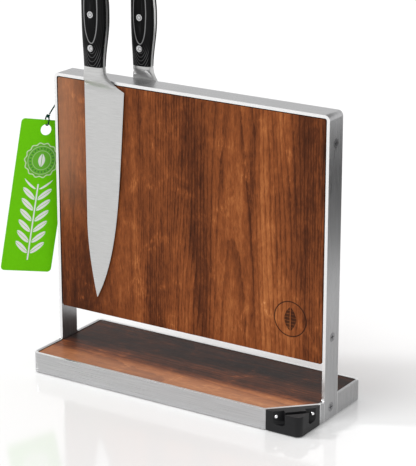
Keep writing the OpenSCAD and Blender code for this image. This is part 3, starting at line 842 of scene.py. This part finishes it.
def handle_t_at(q):
    """Thickness of a handle, in the same way."""
    swell = 1 - max(0.0, 1 - q / 0.5) ** 2
    waist = smooth((q - 0.55) / 0.25)
    flare = smooth((q - 0.8) / 0.2) / 2
    return neck_t + (grip_t - neck_t) * swell - waist_dip * waist + butt_flare * flare


def handle_height(knife, q):
    """Height above the table of the share q of a handle."""
    return handle_z + q * handle_l * knife["ratio"]


def handle_edges(knife, q):
    """Left and right edges of a handle, from the spine's line."""
    drift = neck_step * (1 - smooth(q / 0.4))
    left = drift + butt_in(q)
    right = drift + handle_h_at(q) - butt_in(q)
    return left, left + (right - left) * knife["ratio"]


def handle_shares(steps):
    """Places along a handle, closer together at its rounded butt."""
    butt_steps = 14
    butt_l = (1 - butt_start) * 0.995
    shares = [butt_start * i / steps for i in range(steps)]
    return shares + [
        butt_start + butt_l * math.sin(math.pi / 2 * i / butt_steps)
        for i in range(butt_steps + 1)
    ]


def loft(name, rings, material, angle):
    """A closed solid through rings of points, with its faces outwards."""
    mesh = bpy.data.meshes.new(name)
    n = len(rings[0])
    faces = [tuple(range(n)), tuple(range((len(rings) - 1) * n, len(rings) * n))]
    for i in range(len(rings) - 1):
        for j in range(n):
            k = (j + 1) % n
            faces.append((i * n + j, (i + 1) * n + j, (i + 1) * n + k, i * n + k))
    mesh.from_pydata([tuple(p) for ring in rings for p in ring], [], faces)
    work = bmesh.new()
    work.from_mesh(mesh)
    bmesh.ops.remove_doubles(work, verts=work.verts, dist=1e-6)
    bmesh.ops.recalc_face_normals(work, faces=work.faces)
    work.to_mesh(mesh)
    work.free()
    mesh.materials.append(material)
    crisp(mesh, angle)
    piece = bpy.data.objects.new(name, mesh)
    scene.collection.objects.link(piece)
    return piece


def blade_ring(left, right, z, ht, k_out, k_in):
    """One ring of blade or bolster: a ground wedge, or the share k of a round
    section on the side away from the board and on the side towards it."""
    steps = 22
    halves = []
    for k in (k_out, k_in):
        half = []
        for i in range(steps + 1):
            s = i / steps
            a = math.pi * s
            bow = (1 - signed_power(math.cos(a), 2 / roundness)) / 2
            f = (1 - k) * s ** 0.7 + k * bow
            if f < edge_bevel_at:
                wedge = blade_t / 2 - (blade_t / 2 - 3 * edge_half_t) * f / edge_bevel_at
            else:
                past = (f - edge_bevel_at) / (1 - edge_bevel_at)
                wedge = edge_half_t * (3 - 2 * past)
            rounded = signed_power(math.sin(a), 2 / roundness)
            rounded = tang_t / 2 + (ht - tang_t) / 2 * rounded
            half.append((f, (1 - k) * wedge + k * rounded))
        halves.append(half)
    ring = []
    for f, y in halves[0]:
        ring.append((left + (right - left) * f, y, z))
    for f, y in reversed(halves[1]):
        ring.append((left + (right - left) * f, -y, z))
    return ring


def placed(knife, ring):
    """A ring in the knife's own frame, its y away from the board, set in place."""
    return [
        (knife["spine_x"] + x, knife["side"] * (blade_plane + y), z) for x, y, z in ring
    ]


def blade_rings(knife):
    """Rings of the blade, from tip to heel, and then of the bolster up to the handle.
    The bolster stays flat towards the board until it is clear of the arch."""
    rings = []
    blade_steps = 90
    for i in range(blade_steps + 1):
        r = 0.998 * (1 - (i / blade_steps) ** 1.4)
        ring = blade_ring(
            spine_at(knife, r), edge_at(knife, r), heel_z - r * knife["blade_l"],
            neck_t, 0, 0,
        )
        thin = 1 - 0.5 * r
        rings.append([(x, y * thin, z) for x, y, z in ring])
    bolster_steps = 44
    flare_out, flare_out_end = 0.02, 0.42
    arch_clearance = 0.0005
    flare_in, flare_in_end = (heel_drop + arch_clearance) / bolster_l, 0.9
    neck_right = neck_step + neck_h * knife["ratio"]
    for i in range(1, bolster_steps + 1):
        v = i / bolster_steps
        left = neck_step * smooth((v - 0.5) / 0.5)
        right = neck_right + (knife["heel_h"] - neck_right) * (1 - v) ** 2.2
        rings.append(blade_ring(
            left, right, heel_z + v * bolster_l, neck_t * knife["ratio"],
            smooth((v - flare_out) / (flare_out_end - flare_out)),
            smooth((v - flare_in) / (flare_in_end - flare_in)),
        ))
    return rings


def tang_rings(knife):
    rings = []
    half = tang_t / 2
    for q in handle_shares(handle_steps):
        left, right = handle_edges(knife, q)
        z = handle_height(knife, q)
        rings.append([
            (left, half, z), (right, half, z), (right, -half, z), (left, -half, z)
        ])
    return rings


def scale_rings(knife, outward):
    """Rings of the scale away from the board, or where outward is -1 towards it."""
    rings = []
    arc_steps = 26
    for q in handle_shares(handle_steps):
        left, right = handle_edges(knife, q)
        t = handle_t_at(q) * knife["ratio"] - butt_in(q) * 0.4
        ring = []
        for i in range(arc_steps + 1):
            a = math.pi * i / arc_steps
            bow = signed_power(math.cos(a), 2 / roundness)
            crown = signed_power(math.sin(a), 2 / roundness)
            x = (left + right) / 2 - (right - left) / 2 * bow
            y = tang_t / 2 + (t - tang_t) / 2 * crown
            ring.append((x, outward * y, handle_height(knife, q)))
        rings.append(ring)
    return rings


def blade_finish(name):
    """Fine cross grinding on the blade, and a more matt shoulder above its heel."""
    material, place = begin_finish(name)
    z = place.axes()[2]
    grind = place.stretched((70, 70, 2600)).noise(1.0, detail=4.0, roughness=0.7)
    cloud = place.noise(20.0, detail=2.0)
    shoulder = z.rise(heel_z - 0.005, heel_z)
    shoulder = shoulder * (1.0 - z.rise(heel_z + 0.011, heel_z + 0.017))
    tone = grind.rise(0.3, 0.7).blend((0.50, 0.50, 0.495, 1), (0.61, 0.61, 0.605, 1))
    return end_finish(
        material, Base_Color=tone, Metallic=1.0,
        Roughness=0.30 + (cloud - 0.5) * 0.12 + grind * 0.06 + shoulder * 0.22,
        bump=grind, bump_depth=0.00002,
    )


def scale_finish(name, knife):
    """Black laminate whose pale layers show as long nested loops on the crown of
    the grip and as small ones under the lowest rivet."""
    material, place = begin_finish(name)
    x, y, z = place.axes()
    wander = place.stretched((90, 90, 30)).noise(1.0, detail=2.0) - 0.5
    loop_middle_mm = 55.0
    u = (x - knife["spine_x"] - knife["rivet_x"]) / knife["ratio"] * 1000.0 + wander * 1.4
    v = (z - handle_z) / knife["ratio"] * 1000.0 - loop_middle_mm + wander * 3.0
    half_w, half_l = 7.6, 31.5
    loop = ((u / half_w) ** 2.0 + (abs(v) / half_l) ** 2.0) ** 0.5
    slope = ((u / half_w ** 2) ** 2.0 + (abs(v) / half_l ** 2) ** 2.0) ** 0.5
    slope = slope / (loop + 0.001)
    main_line = 1.0 - (abs(loop - 1.0) / (slope + 0.001)).rise(0.25, 0.75)
    pitch = 0.125
    nearest = (((loop - 1.0) / pitch).maths("FRACT") - 0.5) * pitch
    thin_line = 1.0 - (abs(nearest) / (slope + 0.001)).rise(0.1, 0.42)
    low = 1.0 - v.rise(-44.0, -30.0)
    thin_line = thin_line * loop.rise(1.02, 1.05) * (low * 0.55 + 0.3)
    crown = abs(y - knife["side"] * blade_plane).rise(0.0035, 0.0052)
    fibre = place.stretched((900, 900, 40)).noise(1.0, detail=3.0)
    inside = (1.0 - loop.rise(0.3, 1.0)) * fibre.rise(0.35, 0.75)
    line = (main_line * 0.85 + thin_line * 0.6) * crown
    shade = (line + fibre * 0.05 + inside * 0.24).maths("MINIMUM", 1.0).ramp([
        (0.0, (0.0010, 0.0010, 0.0012, 1)),
        (0.12, (0.0035, 0.0035, 0.004, 1)),
        (0.35, (0.030, 0.030, 0.031, 1)),
        (0.9, (0.24, 0.24, 0.245, 1)),
    ])
    return end_finish(
        material, Base_Color=shade, Roughness=0.34 + fibre * 0.12,
        Specular_IOR_Level=0.08, bump=fibre * 0.4 + line * 0.2, bump_depth=0.00005,
    )


def rivet_finish(name, knife):
    """Turned steel rivets with a dark groove round the pin in their middle."""
    material, place = begin_finish(name)
    x, _, z = place.axes()
    polish = place.noise(800.0, detail=2.0)
    across = x - knife["spine_x"] - knife["rivet_x"]
    step = rivet_pitch * knife["ratio"]
    first = handle_z + rivet_start * knife["ratio"]
    up = (((z - first) / step + 0.5).maths("FRACT") - 0.5) * step
    reach = (across * across + up * up) ** 0.5 * 1000.0
    groove = 1.0 - abs(reach - 1.75).rise(0.15, 0.5)
    tone = polish.blend((0.46, 0.46, 0.47, 1), (0.66, 0.66, 0.67, 1))
    return end_finish(
        material, Base_Color=(groove * 0.8).blend(tone, (0.10, 0.10, 0.10, 1)),
        Metallic=1.0, Roughness=0.22 + polish * 0.14,
    )


rivets, given, out = new_tree("rivets", ["Diameter", "Pin Share", "Pin Rise"])
shapes = tree_node(rivets, "GeometryNodeJoinGeometry")
for share, rise in ((None, None), ("Pin Share", "Pin Rise")):
    radius = tree_node(
        rivets, "ShaderNodeMath", {"operation": "MULTIPLY"},
        {0: given.outputs["Diameter"], 1: given.outputs[share] if share else 0.5},
    )
    length = tree_node(
        rivets, "ShaderNodeMath", {"operation": "ADD"},
        {0: 1.0, 1: given.outputs[rise] if rise else 0.0},
    )
    shank = tree_node(
        rivets, "GeometryNodeMeshCylinder", {"fill_type": "NGON"},
        {"Vertices": 40, "Radius": radius.outputs[0], "Depth": length.outputs[0]},
    )
    rivets.links.new(shank.outputs["Mesh"], shapes.inputs[0])
through = tree_node(
    rivets, "GeometryNodeInputNamedAttribute", {"data_type": "FLOAT"},
    {"Name": "rivet_length"},
)
along = tree_node(
    rivets, "ShaderNodeCombineXYZ", {}, {0: 1.0, 1: 1.0, 2: through.outputs["Attribute"]}
)
at_points = tree_node(
    rivets, "GeometryNodeInstanceOnPoints", {},
    {"Points": given.outputs["Geometry"], "Instance": shapes.outputs[0],
     "Rotation": (math.pi / 2, 0, 0), "Scale": along.outputs[0]},
)
real = tree_node(rivets, "GeometryNodeRealizeInstances", {}, {0: at_points.outputs[0]})
coloured = tree_node(
    rivets, "GeometryNodeSetMaterial", {},
    {"Geometry": real.outputs[0], "Material": given.outputs["Material"]},
)
rivets.links.new(coloured.outputs[0], out.inputs[0])

for name, knife in knives.items():
    body = name + "_knife"
    blade_steel = blade_finish(name + "_blade_steel")
    handle_black = scale_finish(name + "_handle_black", knife)
    blade = loft(
        name + "_blade_forged", [placed(knife, r) for r in blade_rings(knife)],
        blade_steel, 20,
    )
    tang = loft(
        name + "_tang", [placed(knife, r) for r in tang_rings(knife)], blade_steel, 30
    )
    scales = {
        side: loft(
            "%s_%s_scale" % (name, side),
            [placed(knife, r) for r in scale_rings(knife, outward)], handle_black, 40,
        )
        for side, outward in (("outer", 1), ("inner", -1))
    }
    points = bpy.data.meshes.new(name + "_rivet_points")
    spots, lengths = [], []
    for i in range(3):
        q = (rivet_start + rivet_pitch * i) / handle_l
        left, right = handle_edges(knife, q)
        spots.append((
            knife["spine_x"] + (left + right) / 2, knife["side"] * blade_plane,
            handle_height(knife, q),
        ))
        lengths.append(handle_t_at(q) * knife["ratio"] + rivet_proud)
    points.from_pydata(spots, [], [])
    stored = points.attributes.new("rivet_length", "FLOAT", "POINT")
    stored.data.foreach_set("value", lengths)
    rivet_steel = rivet_finish(name + "_rivet_steel", knife)
    pins = baked(
        name + "_rivet_pins", points, rivets, rivet_steel,
        {"Diameter": rivet_d, "Pin Share": 0.23, "Pin Rise": 0.012},
    )
    crisp(pins.data, 40)
    for piece, slot in (
        (blade, "blade_steel"), (tang, "blade_steel"), (scales["outer"], "handle_black"),
        (scales["inner"], "handle_black"), (pins, "rivet_steel"),
    ):
        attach(piece, body)
    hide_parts(name + "_blade")
    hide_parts(name + "_front_scale")
    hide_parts(name + "_rear_scale")
    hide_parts(name + "_rivets")

# ------------------------------------------------------------------- studio
# A glossy white table in a white room that is dimmer overhead. A broad soft light
# stands high in front, and a firmer one lower down at the front left.
floor_white, _ = begin_finish("floor_white")
end_finish(
    floor_white, Base_Color=(0.86, 0.86, 0.86, 1), Roughness=0.09, IOR=1.75,
    Emission_Color=(1, 1, 1, 1), Emission_Strength=0.12,
)
floor_mesh = bpy.data.meshes.new("floor")
half = 14.0
floor_mesh.from_pydata(
    [(-half, -half, 0), (half, -half, 0), (half, half, 0), (-half, half, 0)],
    [], [(0, 1, 2, 3)],
)
floor_mesh.materials.append(floor_white)
floor = bpy.data.objects.new("floor", floor_mesh)
scene.collection.objects.link(floor)


def soft_sun(name, azimuth, elevation, angle, strength):
    """Even light from far away, with its angles in degrees; azimuth 0 is from the
    front and 90 from the right, and a wide angle makes its shadows soft."""
    a, e = math.radians(azimuth), math.radians(elevation)
    light = bpy.data.lights.new(name, "SUN")
    light.angle = math.radians(angle)
    light.energy = strength
    lamp = bpy.data.objects.new(name, light)
    towards = Vector((
        math.sin(a) * math.cos(e), -math.cos(a) * math.cos(e), math.sin(e)
    ))
    lamp.rotation_euler = (-towards).to_track_quat("-Z", "Y").to_euler()
    scene.collection.objects.link(lamp)


soft_sun("overhead", -25, 62, 26, 1.1)
soft_sun("key", -62, 34, 8, 1.0)

# A dark cloth stands behind the block on the right. It shows only where glossy
# surfaces mirror it, and darkens the steel's right side.
cloth_h = 0.16
cloth_ends = ((0.20, 0.62), (0.62, 0.20))
cloth_black, _ = begin_finish("cloth_black")
end_finish(cloth_black, Base_Color=(0.09, 0.09, 0.09, 1), Roughness=0.9)
cloth_mesh = bpy.data.meshes.new("dark_cloth")
cloth_mesh.from_pydata(
    [(*cloth_ends[0], 0), (*cloth_ends[1], 0),
     (*cloth_ends[1], cloth_h), (*cloth_ends[0], cloth_h)],
    [], [(0, 1, 2, 3)],
)
cloth_mesh.materials.append(cloth_black)
cloth = bpy.data.objects.new("dark_cloth", cloth_mesh)
scene.collection.objects.link(cloth)
cloth.visible_camera = False
cloth.visible_shadow = False
cloth.visible_diffuse = False

world = bpy.data.worlds.new("studio")
world.use_nodes = True
scene.world = world
sky = world.node_tree.nodes["Background"]
sky.inputs["Color"].default_value = (1, 1, 1, 1)
sky_place = Wire(world.node_tree.nodes.new("ShaderNodeTexCoord").outputs["Generated"])
sky_up = sky_place.axes()[2]
sky_strength = 1.0 - sky_up.rise(0.25, 0.75) * 0.55
world.node_tree.links.new(sky_strength.socket, sky.inputs["Strength"])
